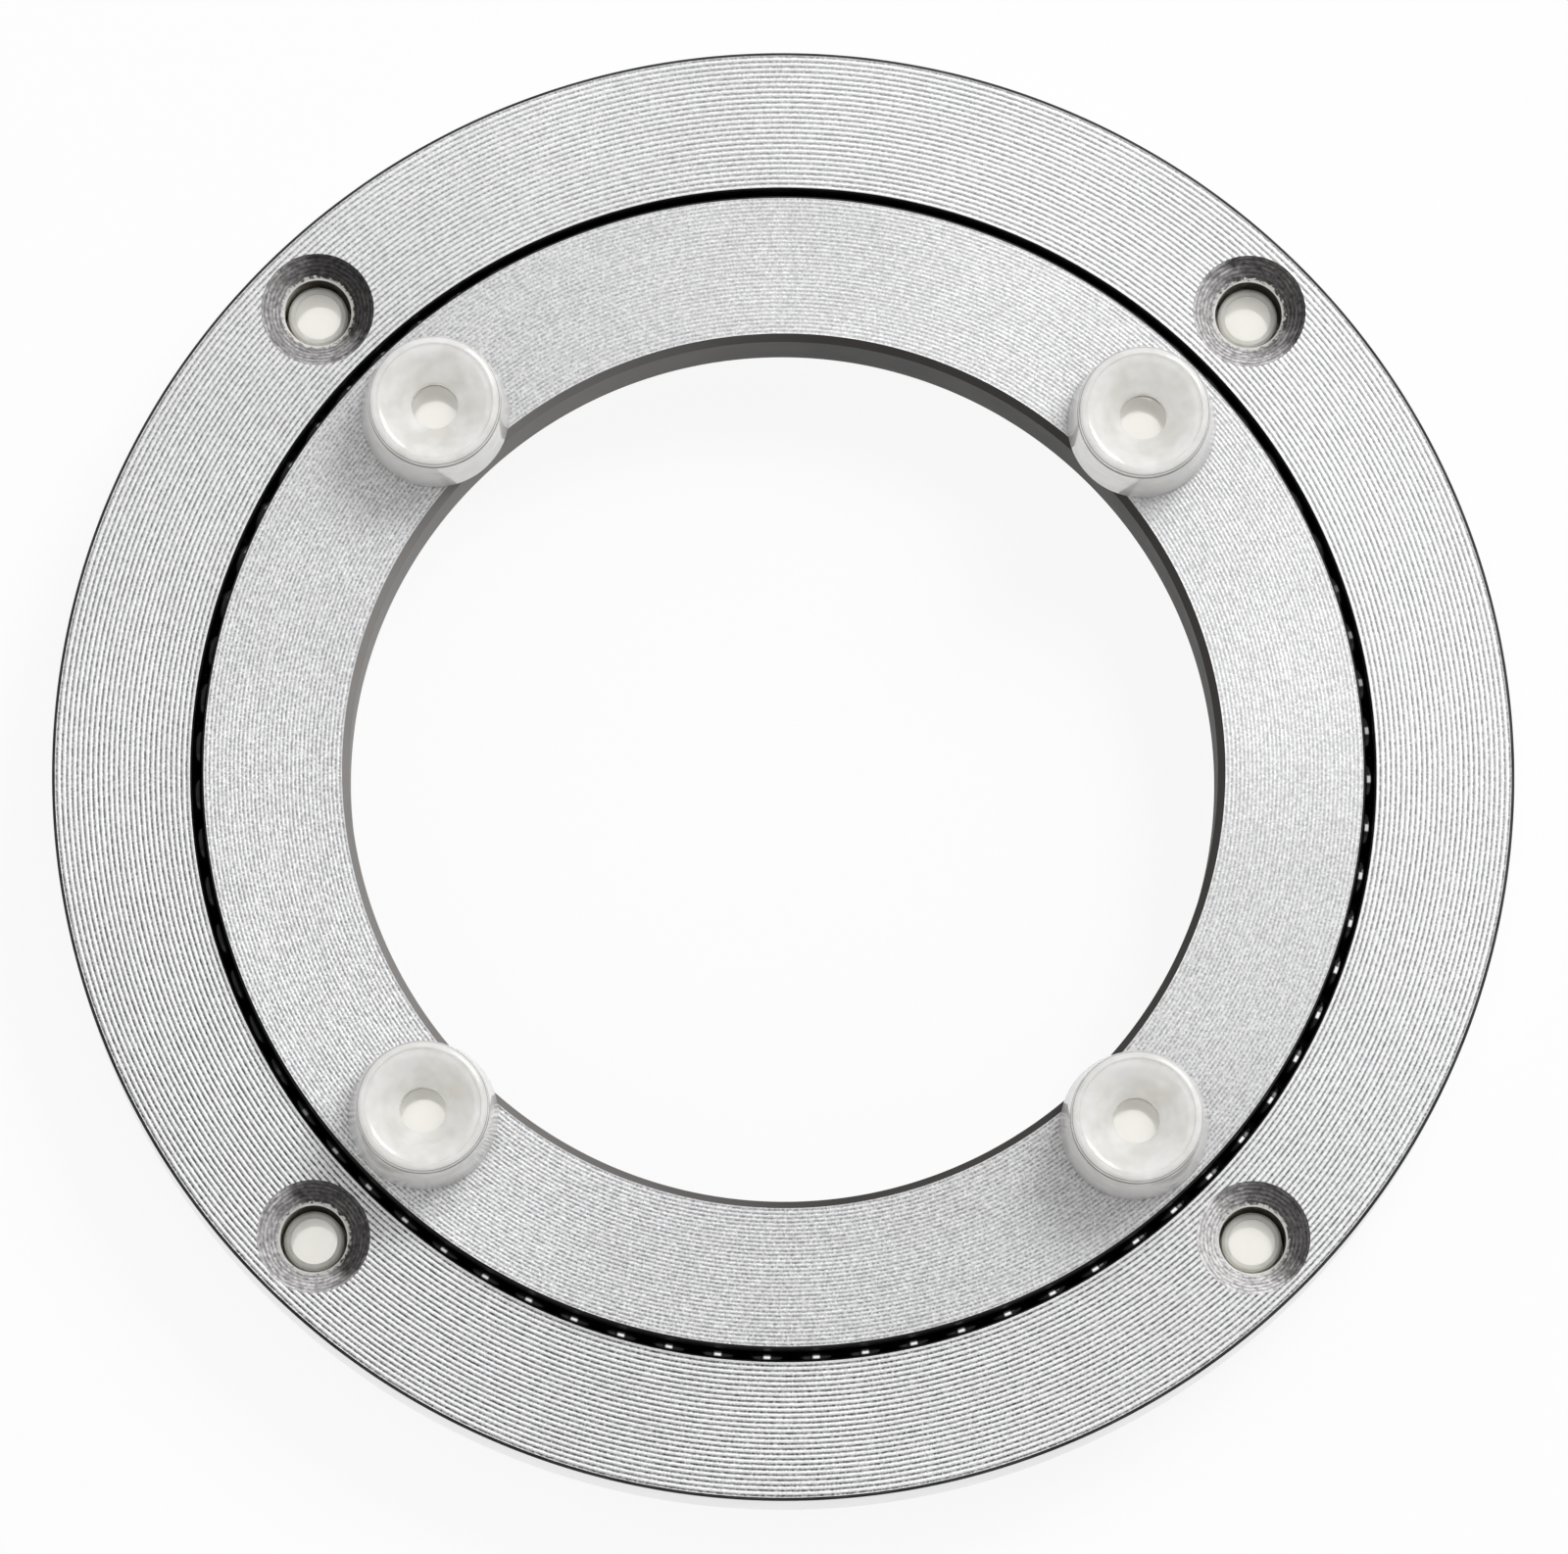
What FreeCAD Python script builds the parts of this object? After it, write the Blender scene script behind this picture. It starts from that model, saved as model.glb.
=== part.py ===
import FreeCAD, Part
import math
import os
import Sketcher

# Lazy susan bearing: two turned aluminium rings that spin on one full row of steel balls.
# It lies as it is shown, on its tray pads with its feet up. In use it is turned over, so the
# feet stand on the table and the outer ring carries the tray.
# Millimetres and degrees, +Z up, origin under the middle, on the plane of the tray pads' faces.

doc = FreeCAD.newDocument("LazySusanBearing")

# Driving sizes
SIZES = [
    ("outer_diameter", 120.0, "outer ring, across its rim"),
    ("outer_thickness", 8.5, "outer ring, face to face"),
    ("inner_thickness", 8.5, "inner ring, face to face"),
    ("face_step", 1.5, "inner ring's foot face above the outer ring's"),
    ("outer_width", 11.475, "outer ring, from its rim in to the gap"),
    ("ring_gap", 0.85, "radial gap between the two rings"),
    ("inner_width", 12.075, "inner ring, from the gap in to its bore"),
    ("ball_diameter", 4.0, "steel balls"),
    ("ball_play", 0.08, "radial clearance of a ball in its race"),
    ("ball_spacing", 0.02, "least room between neighbouring balls"),
    ("ball_turn", -0.4, "angle of the first ball at rest"),
    ("rim_chamfer", 0.25, "outer ring, edges of its rim"),
    ("bore_chamfer", 0.6, "inner ring, edge of its bore on the foot side"),
    ("bore_back_chamfer", 0.3, "inner ring, edge of its bore on the tray side"),
    ("gap_chamfer", 0.15, "both rings, edges beside the gap"),
    ("screw_hole", 5.5, "holes through both rings"),
    ("countersink_edge", 1.0875, "half the outer ring's width that a countersink leaves"),
    ("countersink_angle", 90.0, "included angle of each countersink"),
    ("outer_hole_offset", 0.0375, "outer ring's holes, outwards from the middle of its width"),
    ("inner_hole_offset", -0.5875, "inner ring's holes, outwards from the middle of its width"),
    ("outer_hole_angle", 45.0, "angle of the outer ring's first hole"),
    ("inner_hole_angle", 44.25, "angle of the inner ring's first hole at rest"),
    ("plug_hole", 5.0, "radial hole through the rim that the balls go in by"),
    ("plug_fit", 0.05, "radial clearance of the filler plug in its hole"),
    ("plug_setback", 0.3, "filler plug's outer end below the rim"),
    ("plug_socket", 2.5, "hexagon socket across flats"),
    ("plug_socket_depth", 2.8, "depth of that socket"),
    ("eyelet_bore", 3.8, "hole down the middle of every foot and pad"),
    ("shank_length", 5.0, "shank that is pushed into a ring"),
    ("shank_tip", 4.75, "diameter of a shank's free end"),
    ("shank_fit", 0.05, "radial clearance of a shank's root in its hole"),
    ("shank_chamfer", 0.2, "edge of a shank's free end"),
    ("foot_base", 12.2, "foot, diameter against the ring"),
    ("foot_top", 11.0, "foot, diameter at its rim"),
    ("foot_height", 7.0, "foot, from the ring's face to its rim"),
    ("foot_land", 0.75, "foot, width of the flat rim that stands on the table"),
    ("foot_dish", 2.6, "foot, depth of the dish inside its rim"),
    ("foot_dish_radius", 4.6, "foot, radius of the dish's curve in section"),
    ("foot_round", 0.45, "foot, rounding of its outer edges"),
    ("pad_base", 10.0, "tray pad, diameter against the ring"),
    ("pad_top", 9.4, "tray pad, diameter at its face"),
    ("pad_height", 2.0, "tray pad, from the ring's face to its own"),
    ("pad_land", 1.6, "tray pad, width of the flat rim that the tray rests on"),
    ("pad_dish", 0.4, "tray pad, depth of the dish inside its rim"),
    ("pad_dish_radius", 3.0, "tray pad, radius of the dish's curve in section"),
    ("pad_round", 0.35, "tray pad, rounding of its outer edges"),
]
HOLES_PER_RING = 4
BALL_GROUPS = 15

sheet = doc.addObject("Spreadsheet::Sheet", "Sizes")
for row, (alias, size, note) in enumerate(SIZES, start=1):
    sheet.set(f"A{row}", alias)
    sheet.set(f"B{row}", str(size))
    sheet.set(f"C{row}", note)
    sheet.setAlias(f"B{row}", alias)
doc.recompute()

# Heights of the faces and of the ball circle, worked out from the driving sizes
OUTER_BOTTOM = "Sizes.pad_height"
OUTER_TOP = f"({OUTER_BOTTOM} + Sizes.outer_thickness)"
INNER_TOP = f"({OUTER_TOP} + Sizes.face_step)"
INNER_BOTTOM = f"({INNER_TOP} - Sizes.inner_thickness)"
BALL_HEIGHT = f"(({OUTER_BOTTOM} + {OUTER_TOP} + {INNER_BOTTOM} + {INNER_TOP}) / 4)"

# Radii of the walls, the ball circle and the hole circles, worked inwards from the rim, and of
# the countersinks' mouths and the races
RIM = "Sizes.outer_diameter / 2"
OUTER_WALL = f"({RIM} - Sizes.outer_width)"
PITCH = f"({OUTER_WALL} - Sizes.ring_gap / 2)"
INNER_WALL = f"({OUTER_WALL} - Sizes.ring_gap)"
BORE = f"({INNER_WALL} - Sizes.inner_width)"
OUTER_HOLES = f"(({RIM} + {OUTER_WALL}) / 2 + Sizes.outer_hole_offset)"
INNER_HOLES = f"(({INNER_WALL} + {BORE}) / 2 + Sizes.inner_hole_offset)"
COUNTERSINK = "(Sizes.outer_width / 2 - Sizes.countersink_edge)"
RACE_RADIUS = "(Sizes.ball_diameter / 2 + Sizes.ball_play)"


def value(expression):
    """The number that an expression over the sheet comes to."""
    result = sheet.evalExpression(expression)
    return float(getattr(result, "Value", result))


def new_sketch(body, name, plane_role="XZ_Plane"):
    """An empty sketch on one of the body's own origin planes."""
    sketch = body.newObject("Sketcher::SketchObject", name)
    plane = next(f for f in body.Origin.OriginFeatures if f.Role == plane_role)
    sketch.AttachmentSupport = [(plane, "")]
    sketch.MapMode = "FlatFace"
    sketch.Visibility = False
    return sketch


def bind(sketch, kind, references, name, expression):
    """Adds a dimension to a sketch and ties it to an expression."""
    index = sketch.addConstraint(Sketcher.Constraint(kind, *references, value(expression)))
    sketch.renameConstraint(index, name)
    sketch.setExpression(f"Constraints.{name}", expression)


def short_arc(start, end, radius, bulge):
    """The short arc between two points, counter-clockwise as a sketch keeps it, and whether it then
    begins at start. Bulge is +1 where it swells to the left of the way from start to end."""
    chord = end - start
    left = FreeCAD.Vector(-chord.y, chord.x, 0).normalize()
    to_chord = math.sqrt(max(radius * radius - chord.Length ** 2 / 4, 0.0))
    centre = (start + end) * 0.5 - left * (bulge * to_chord)
    ends = [end, start] if bulge > 0 else [start, end]
    angles = [math.atan2(point.y - centre.y, point.x - centre.x) for point in ends]
    circle = Part.Circle(centre, FreeCAD.Vector(0, 0, 1), radius)
    return Part.ArcOfCircle(circle, angles[0], angles[0] + (angles[1] - angles[0]) % math.tau), bulge < 0


def outline(sketch, corners, bends=()):
    """A closed outline through corners (name, radius, height), whose sides are straight unless
    bends gives (name of the corner that it starts at, arc radius, bulge)."""
    points = [FreeCAD.Vector(value(r), value(z), 0) for _, r, z in corners]
    bends = {name: (radius, bulge) for name, radius, bulge in bends}
    edges = []
    for i, (name, _, _) in enumerate(corners):
        start, end = points[i], points[(i + 1) % len(points)]
        if name in bends:
            radius, bulge = bends[name]
            arc, forwards = short_arc(start, end, value(radius), bulge)
            first, last = (1, 2) if forwards else (2, 1)
            edges.append((sketch.addGeometry(arc, False), first, last))
        else:
            edge = sketch.addGeometry(Part.LineSegment(start, end), False)
            edges.append((edge, 1, 2))
    for i, (name, radius, height) in enumerate(corners):
        edge, first, last = edges[i]
        after, after_first, _ = edges[(i + 1) % len(edges)]
        sketch.addConstraint(Sketcher.Constraint("Coincident", edge, last, after, after_first))
        bind(sketch, "DistanceX", (-1, 1, edge, first), f"{name}_radius", radius)
        bind(sketch, "DistanceY", (-1, 1, edge, first), f"{name}_height", height)
        if name in bends:
            bind(sketch, "Radius", (edge,), f"{name}_bend", bends[name][0])


def turned_body(name, corners, bends):
    """A body turned about its own Z axis from an outline of its section."""
    body = doc.addObject("PartDesign::Body", name)
    section = new_sketch(body, f"{name}_section")
    outline(section, corners, bends)
    turned = body.newObject("PartDesign::Revolution", f"{name}_turned")
    turned.Profile = section
    turned.ReferenceAxis = (section, ["V_Axis"])
    turned.Angle = 360.0
    doc.recompute()
    return body


def cut_checked(feature):
    """Recomputes a cut and stops if it took nothing away."""
    before = feature.BaseFeature.Shape.Volume
    doc.recompute()
    if not feature.Shape.Volume < before - 1.0:
        raise RuntimeError(f"{feature.Label} cuts nothing")


def countersunk_holes(body, centre, angle, mouth_height, other_height, inward):
    """Cuts a ring's screw holes, centre away from its axis. Their countersinks open at
    mouth_height, and inward is the way from there into the ring, 1 for up and -1 for down."""
    name = body.Name
    hole = f"{centre} + Sizes.screw_hole / 2"
    mouth = f"{centre} + {COUNTERSINK}"
    cone_width = f"({COUNTERSINK} - Sizes.screw_hole / 2)"
    cone_depth = f"{cone_width} / tan(Sizes.countersink_angle / 2 * 1 deg)"
    section = new_sketch(body, f"{name}_hole_section")
    about_ring_axis = FreeCAD.Rotation(FreeCAD.Vector(0, 1, 0), value(f"Sizes.{angle}"))
    section.AttachmentOffset = FreeCAD.Placement(FreeCAD.Vector(), about_ring_axis)
    section.setExpression("AttachmentOffset.Rotation.Angle", f"Sizes.{angle} * 1 deg")
    outline(section, [
        ("mouth_middle", centre, mouth_height),
        ("mouth", mouth, mouth_height),
        ("cone_end", hole, f"{mouth_height} + {inward} * {cone_depth}"),
        ("exit", hole, other_height),
        ("exit_middle", centre, other_height),
    ])
    drill_line = section.addGeometry(Part.LineSegment(
        FreeCAD.Vector(value(centre), value(mouth_height), 0),
        FreeCAD.Vector(value(centre), value(other_height), 0)), True)
    section.addConstraint(Sketcher.Constraint("Coincident", drill_line, 1, 0, 1))
    section.addConstraint(Sketcher.Constraint("Coincident", drill_line, 2, 4, 1))
    hole_cut = body.newObject("PartDesign::Groove", f"{name}_hole")
    hole_cut.Profile = section
    hole_cut.ReferenceAxis = (section, ["Axis0"])
    hole_cut.Angle = 360.0
    cut_checked(hole_cut)
    centre_mark = new_sketch(body, f"{name}_centre", "XY_Plane")
    pattern = body.newObject("PartDesign::PolarPattern", f"{name}_holes")
    pattern.Originals = [hole_cut]
    pattern.Axis = (centre_mark, ["N_Axis"])
    pattern.Angle = 360.0
    pattern.Occurrences = HOLES_PER_RING
    body.Tip = pattern
    doc.recompute()


def make_outer_ring():
    """The ring that carries the tray. Its race is turned into the wall beside the gap."""
    rim_edge, gap_edge = "Sizes.rim_chamfer", "Sizes.gap_chamfer"
    race_half = f"sqrt({RACE_RADIUS}^2 - (Sizes.ring_gap / 2)^2)"
    body = turned_body("outer_ring", [
        ("foot_side_rim", f"{RIM} - {rim_edge}", OUTER_TOP),
        ("rim_top", RIM, f"{OUTER_TOP} - {rim_edge}"),
        ("rim_bottom", RIM, f"{OUTER_BOTTOM} + {rim_edge}"),
        ("tray_side_rim", f"{RIM} - {rim_edge}", OUTER_BOTTOM),
        ("tray_side_gap", f"{OUTER_WALL} + {gap_edge}", OUTER_BOTTOM),
        ("wall_bottom", OUTER_WALL, f"{OUTER_BOTTOM} + {gap_edge}"),
        ("race_bottom", OUTER_WALL, f"{BALL_HEIGHT} - {race_half}"),
        ("race_top", OUTER_WALL, f"{BALL_HEIGHT} + {race_half}"),
        ("wall_top", OUTER_WALL, f"{OUTER_TOP} - {gap_edge}"),
        ("foot_side_gap", f"{OUTER_WALL} + {gap_edge}", OUTER_TOP),
    ], [("race_bottom", RACE_RADIUS, -1)])
    countersunk_holes(body, OUTER_HOLES, "outer_hole_angle", OUTER_TOP, OUTER_BOTTOM, -1)
    mouth = new_sketch(body, "ball_hole_section")
    middle = FreeCAD.Vector(0, value(BALL_HEIGHT), 0)
    hole_line = Part.Circle(middle, FreeCAD.Vector(0, 0, 1), value("Sizes.plug_hole / 2"))
    circle = mouth.addGeometry(hole_line, False)
    mouth.addConstraint(Sketcher.Constraint("PointOnObject", circle, 3, -2))
    bind(mouth, "DistanceY", (-1, 1, circle, 3), "ball_height", BALL_HEIGHT)
    bind(mouth, "Radius", (circle,), "hole_radius", "Sizes.plug_hole / 2")
    ball_hole = body.newObject("PartDesign::Pocket", "ball_hole")
    ball_hole.Profile = mouth
    ball_hole.Type = "ThroughAll"
    cut_checked(ball_hole)
    if ball_hole.Shape.isInside(FreeCAD.Vector(0, value(RIM) - 1.0, value(BALL_HEIGHT)), 0.01, True):
        raise RuntimeError("ball_hole opens on the wrong side")
    body.Tip = ball_hole
    doc.recompute()
    return body


def make_inner_ring():
    """The ring that stands on the table. Its race is turned into its outside."""
    gap_edge, bore_edge, back_edge = "Sizes.gap_chamfer", "Sizes.bore_chamfer", "Sizes.bore_back_chamfer"
    race_half = f"sqrt({RACE_RADIUS}^2 - (Sizes.ring_gap / 2)^2)"
    body = turned_body("inner_ring", [
        ("foot_side_gap", f"{INNER_WALL} - {gap_edge}", INNER_TOP),
        ("wall_top", INNER_WALL, f"{INNER_TOP} - {gap_edge}"),
        ("race_top", INNER_WALL, f"{BALL_HEIGHT} + {race_half}"),
        ("race_bottom", INNER_WALL, f"{BALL_HEIGHT} - {race_half}"),
        ("wall_bottom", INNER_WALL, f"{INNER_BOTTOM} + {gap_edge}"),
        ("tray_side_gap", f"{INNER_WALL} - {gap_edge}", INNER_BOTTOM),
        ("tray_side_bore", f"{BORE} + {back_edge}", INNER_BOTTOM),
        ("bore_bottom", BORE, f"{INNER_BOTTOM} + {back_edge}"),
        ("bore_top", BORE, f"{INNER_TOP} - {bore_edge}"),
        ("foot_side_bore", f"{BORE} + {bore_edge}", INNER_TOP),
    ], [("race_top", RACE_RADIUS, -1)])
    countersunk_holes(body, INNER_HOLES, "inner_hole_angle", INNER_BOTTOM, INNER_TOP, 1)
    return body


def push_in_pad(name, kind):
    """A clear plastic foot or tray pad, turned about its eyelet, with its seat on the ring at zero
    height. kind is the sheet's prefix for its own sizes, foot or pad."""
    bore = "Sizes.eyelet_bore / 2"
    tip = "Sizes.shank_tip / 2"
    root = "(Sizes.screw_hole / 2 - Sizes.shank_fit)"
    base, top = f"Sizes.{kind}_base / 2", f"Sizes.{kind}_top / 2"
    height, edge = f"Sizes.{kind}_height", f"Sizes.{kind}_round"
    length, tip_edge = "Sizes.shank_length", "Sizes.shank_chamfer"
    return turned_body(name, [
        ("tip_bore", bore, f"-{length}"),
        ("tip_end", f"{tip} - {tip_edge}", f"-{length}"),
        ("tip_side", tip, f"{tip_edge} - {length}"),
        ("root", root, "0"),
        ("seat", f"{base} - {edge}", "0"),
        ("base", base, edge),
        ("side_top", top, f"{height} - {edge}"),
        ("rim", f"{top} - {edge}", height),
        ("rim_inside", f"{top} - {edge} - Sizes.{kind}_land", height),
        ("dish_end", bore, f"{height} - Sizes.{kind}_dish"),
    ], [("seat", edge, -1), ("side_top", edge, -1), ("rim_inside", f"Sizes.{kind}_dish_radius", 1)])


def place_on_circle(body, radius, angle, turn, height):
    """Puts a body on a hole circle, at the angle of the ring's first hole plus turn."""
    place = f"{radius} * {{}}((Sizes.{angle} + {turn}) * 1 deg)"
    body.setExpression("Placement.Base.x", place.format("cos"))
    body.setExpression("Placement.Base.y", place.format("sin"))
    body.setExpression("Placement.Base.z", height)


def make_feet():
    """Four feet, their shanks pushed down into the inner ring."""
    feet = []
    for number in range(HOLES_PER_RING):
        foot = push_in_pad(f"foot_{number + 1}", "foot")
        turn = 360.0 / HOLES_PER_RING * number
        place_on_circle(foot, INNER_HOLES, "inner_hole_angle", turn, INNER_TOP)
        feet.append(foot)
    return feet


def make_tray_pads():
    """Four tray pads, their shanks pushed up into the outer ring from the tray's side."""
    pads = []
    for number in range(HOLES_PER_RING):
        pad = push_in_pad(f"tray_pad_{number + 1}", "pad")
        pad.Placement = FreeCAD.Placement(FreeCAD.Vector(), FreeCAD.Rotation(FreeCAD.Vector(1, 0, 0), 180))
        turn = 360.0 / HOLES_PER_RING * number
        place_on_circle(pad, OUTER_HOLES, "outer_hole_angle", turn, OUTER_BOTTOM)
        pads.append(pad)
    return pads


def make_filler_plug():
    """The grub screw that closes the ball hole. Its nose carries the race across the hole."""
    along_hole = FreeCAD.Rotation(FreeCAD.Vector(1, 0, 0), -90)
    blank = doc.addObject("Part::Cylinder", "plug_blank")
    blank.Placement.Rotation = along_hole
    blank.setExpression("Radius", "Sizes.plug_hole / 2 - Sizes.plug_fit")
    blank.setExpression("Height", f"{RIM} - Sizes.plug_setback - {OUTER_WALL}")
    blank.setExpression("Placement.Base.y", OUTER_WALL)
    blank.setExpression("Placement.Base.z", BALL_HEIGHT)
    race = doc.addObject("Part::Torus", "plug_race")
    race.setExpression("Radius1", PITCH)
    race.setExpression("Radius2", RACE_RADIUS)
    race.setExpression("Placement.Base.z", BALL_HEIGHT)
    socket = doc.addObject("Part::Prism", "plug_hexagon")
    socket.Placement.Rotation = along_hole
    socket.Polygon = 6
    socket.setExpression("Circumradius", "Sizes.plug_socket / 2 / cos(30 deg)")
    socket.setExpression("Height", "Sizes.plug_socket_depth")
    socket.setExpression("Placement.Base.y", f"{RIM} - Sizes.plug_setback - Sizes.plug_socket_depth")
    socket.setExpression("Placement.Base.z", BALL_HEIGHT)
    nosed = doc.addObject("Part::Cut", "plug_nosed")
    nosed.Base, nosed.Tool = blank, race
    plug = doc.addObject("Part::Cut", "filler_plug")
    plug.Base, plug.Tool = nosed, socket
    doc.recompute()
    return plug


def make_balls():
    """A full row of balls on the pitch circle, in groups of neighbours that stay separate."""
    seat_angle = math.degrees(2 * math.asin(
        value("Sizes.ball_diameter + Sizes.ball_spacing") / value(f"2 * {PITCH}")))
    count = math.floor(360.0 / seat_angle)
    balls = [[] for _ in range(BALL_GROUPS)]
    for number in range(count):
        ball = doc.addObject("Part::Sphere", f"ball_{number + 1:02d}")
        place = f"{PITCH} * {{}}((Sizes.ball_turn + {360.0 / count * number:.6f}) * 1 deg)"
        ball.setExpression("Radius", "Sizes.ball_diameter / 2")
        ball.setExpression("Placement.Base.x", place.format("cos"))
        ball.setExpression("Placement.Base.y", place.format("sin"))
        ball.setExpression("Placement.Base.z", BALL_HEIGHT)
        balls[number * BALL_GROUPS // count].append(ball)
    groups = []
    for number, members in enumerate(balls, start=1):
        group = doc.addObject("Part::Compound", f"balls_{number:02d}")
        group.Links = members
        groups.append(group)
    doc.recompute()
    return groups


nodes = [make_outer_ring(), make_inner_ring(), *make_feet(), *make_tray_pads()]
nodes += [make_filler_plug(), *make_balls()]
doc.recompute()

for item in doc.Objects:
    if "Invalid" in item.State or "Error" in item.State:
        raise RuntimeError(f"{item.Label} failed: {item.State}")
for node in nodes:
    if node.Shape.isNull() or not node.Shape.isValid():
        raise RuntimeError(f"{node.Label} has no valid shape")

os.makedirs("parts", exist_ok=True)
for node in nodes:
    node.Shape.exportStep(f"parts/{node.Label}.step")
    box = node.Shape.BoundBox
    print(f"{node.Label}: {len(node.Shape.Solids)} solids, {node.Shape.Volume:.2f} mm3, "
          f"z {box.ZMin:.2f} to {box.ZMax:.2f}")
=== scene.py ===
import math

import bpy
import numpy as np
from mathutils import Matrix, Vector


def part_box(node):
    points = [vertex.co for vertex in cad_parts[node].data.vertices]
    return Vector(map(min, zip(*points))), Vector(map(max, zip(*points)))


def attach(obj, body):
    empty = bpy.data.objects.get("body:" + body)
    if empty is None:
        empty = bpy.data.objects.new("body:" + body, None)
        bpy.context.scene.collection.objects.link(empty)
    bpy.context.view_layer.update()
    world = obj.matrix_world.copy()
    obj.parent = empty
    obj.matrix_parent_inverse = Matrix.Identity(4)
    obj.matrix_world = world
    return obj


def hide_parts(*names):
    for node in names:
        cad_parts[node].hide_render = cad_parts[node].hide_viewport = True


# Lazy susan bearing: two turned aluminium rings that spin on one full row of steel balls. It lies
# on its four tray pads with its feet up. Metres, as in the frame.
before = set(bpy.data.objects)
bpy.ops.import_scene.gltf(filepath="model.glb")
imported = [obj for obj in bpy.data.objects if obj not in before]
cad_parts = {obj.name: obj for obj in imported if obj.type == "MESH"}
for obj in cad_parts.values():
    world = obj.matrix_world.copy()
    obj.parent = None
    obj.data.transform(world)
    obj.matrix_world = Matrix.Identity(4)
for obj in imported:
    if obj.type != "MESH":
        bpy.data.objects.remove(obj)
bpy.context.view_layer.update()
MM = 0.001

# The table it lies on and the room: a pale matt top, dimmer in the metal's reflections away from
# the bearing and painted dark under the balls' gap as painted shade, a soft white surround, and one
# large soft lamp on the upper right with two weak ones opposite. The camera hangs over the bearing
# and leans a little towards the bottom of the picture.
scene = bpy.context.scene
scene.view_settings.view_transform = "Standard"


def add(tree, kind, inputs=None, **settings):
    """A node with its settings, and its inputs given as values or as the sockets that feed them."""
    node = tree.nodes.new(kind)
    for name, setting in settings.items():
        setattr(node, name, setting)
    for name, given in (inputs or {}).items():
        if isinstance(given, bpy.types.NodeSocket):
            tree.links.new(given, node.inputs[name])
        else:
            node.inputs[name].default_value = given
    return node


def maths(tree, operation, *given):
    """The result of one step of arithmetic on values or sockets."""
    return add(tree, "ShaderNodeMath", dict(enumerate(given)), operation=operation).outputs[0]


def vectors(tree, operation, *given):
    """The result of one step of arithmetic on places, directions or colours."""
    step = add(tree, "ShaderNodeVectorMath", dict(enumerate(given)), operation=operation)
    return step.outputs["Value" if operation in ("LENGTH", "DOT_PRODUCT") else "Vector"]


def ramp(tree, given, from_low, from_high, to_low, to_high, curve="LINEAR"):
    """Stretches the span from_low to from_high over to_low to to_high, and holds its ends beyond."""
    ends = {0: given, 1: from_low, 2: from_high, 3: to_low, 4: to_high}
    return add(tree, "ShaderNodeMapRange", ends, interpolation_type=curve).outputs[0]


def either_shader(tree, share, first, second):
    """The first shader where share is 0 and the second where it is 1."""
    return add(tree, "ShaderNodeMixShader", {0: share, 1: first, 2: second}).outputs[0]


def seen_directly(tree):
    """1 for rays that see a surface straight from the camera, in a mirror or through glass."""
    rays = add(tree, "ShaderNodeLightPath").outputs
    seen = maths(tree, "MAXIMUM", rays["Is Camera Ray"], rays["Is Glossy Ray"])
    return maths(tree, "MAXIMUM", seen, rays["Is Transmission Ray"])


WHITE = (1.0, 1.0, 1.0, 1.0)
room_light = 0.45
window_direction = (0.36, 0.44, 0.82)
darkest_mirrored = 0.12
world = bpy.data.worlds.new("white_room")
world.use_nodes = True
scene.world = world
room = world.node_tree
room.nodes.clear()
dim = add(room, "ShaderNodeBackground", {"Color": WHITE, "Strength": room_light}).outputs[0]
direction = add(room, "ShaderNodeTexCoord").outputs["Generated"]
towards_window = vectors(room, "DOT_PRODUCT", direction, window_direction)
graded = ramp(room, towards_window, -0.6, 0.85, darkest_mirrored, 1.0)
pale = add(room, "ShaderNodeBackground", {"Color": WHITE, "Strength": graded}).outputs[0]
white = add(room, "ShaderNodeBackground", {"Color": WHITE, "Strength": 1.0}).outputs[0]
mirrored = add(room, "ShaderNodeLightPath").outputs["Is Glossy Ray"]
shown = either_shader(room, mirrored, white, pale)
surround = either_shader(room, seen_directly(room), dim, shown)
add(room, "ShaderNodeOutputWorld", {"Surface": surround})

half_table = 1.5
table_white = 0.90
shadow_kept = 0.11
gap_circle = 0.0481
dark_within, shaded_within, open_beyond = 0.0025, 0.0034, 0.0041
mirror_near, mirror_far, mirror_loss = 0.061, 0.090, 0.62
table_corners = [(-half_table, -half_table, 0), (half_table, -half_table, 0),
                 (half_table, half_table, 0), (-half_table, half_table, 0)]
table_mesh = bpy.data.meshes.new("table_top")
table_mesh.from_pydata(table_corners, [], [(0, 1, 2, 3)])
table_top = bpy.data.objects.new("table_top", table_mesh)
scene.collection.objects.link(table_top)
table_paint = bpy.data.materials.new("pale_table")
table_paint.use_nodes = True
paint = table_paint.node_tree
paint.nodes.clear()
from_axis = vectors(paint, "LENGTH", add(paint, "ShaderNodeTexCoord").outputs["Object"])
loss = ramp(paint, from_axis, mirror_near, mirror_far, 0.0, mirror_loss)
in_mirror = add(paint, "ShaderNodeLightPath").outputs["Is Glossy Ray"]
glowing = maths(paint, "SUBTRACT", 1.0, maths(paint, "MULTIPLY", in_mirror, loss))
glow = add(paint, "ShaderNodeEmission", {"Color": WHITE, "Strength": glowing}).outputs[0]
# Painted shade: in a ring under the balls' gap the table is painted dark and does not glow white.
beside_gap = maths(paint, "ABSOLUTE", maths(paint, "SUBTRACT", from_axis, gap_circle))
open_table = ramp(paint, beside_gap, shaded_within, open_beyond, 0.0, 1.0 - shadow_kept)
painted_shade_under_gap = ramp(paint, beside_gap, dark_within, open_beyond, 0.0, table_white)
matt = add(paint, "ShaderNodeBsdfDiffuse", {"Color": painted_shade_under_gap}).outputs[0]
lift = maths(paint, "MULTIPLY", seen_directly(paint), open_table)
from_above = either_shader(paint, lift, matt, glow)
from_below = add(paint, "ShaderNodeBsdfTransparent").outputs[0]
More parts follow.
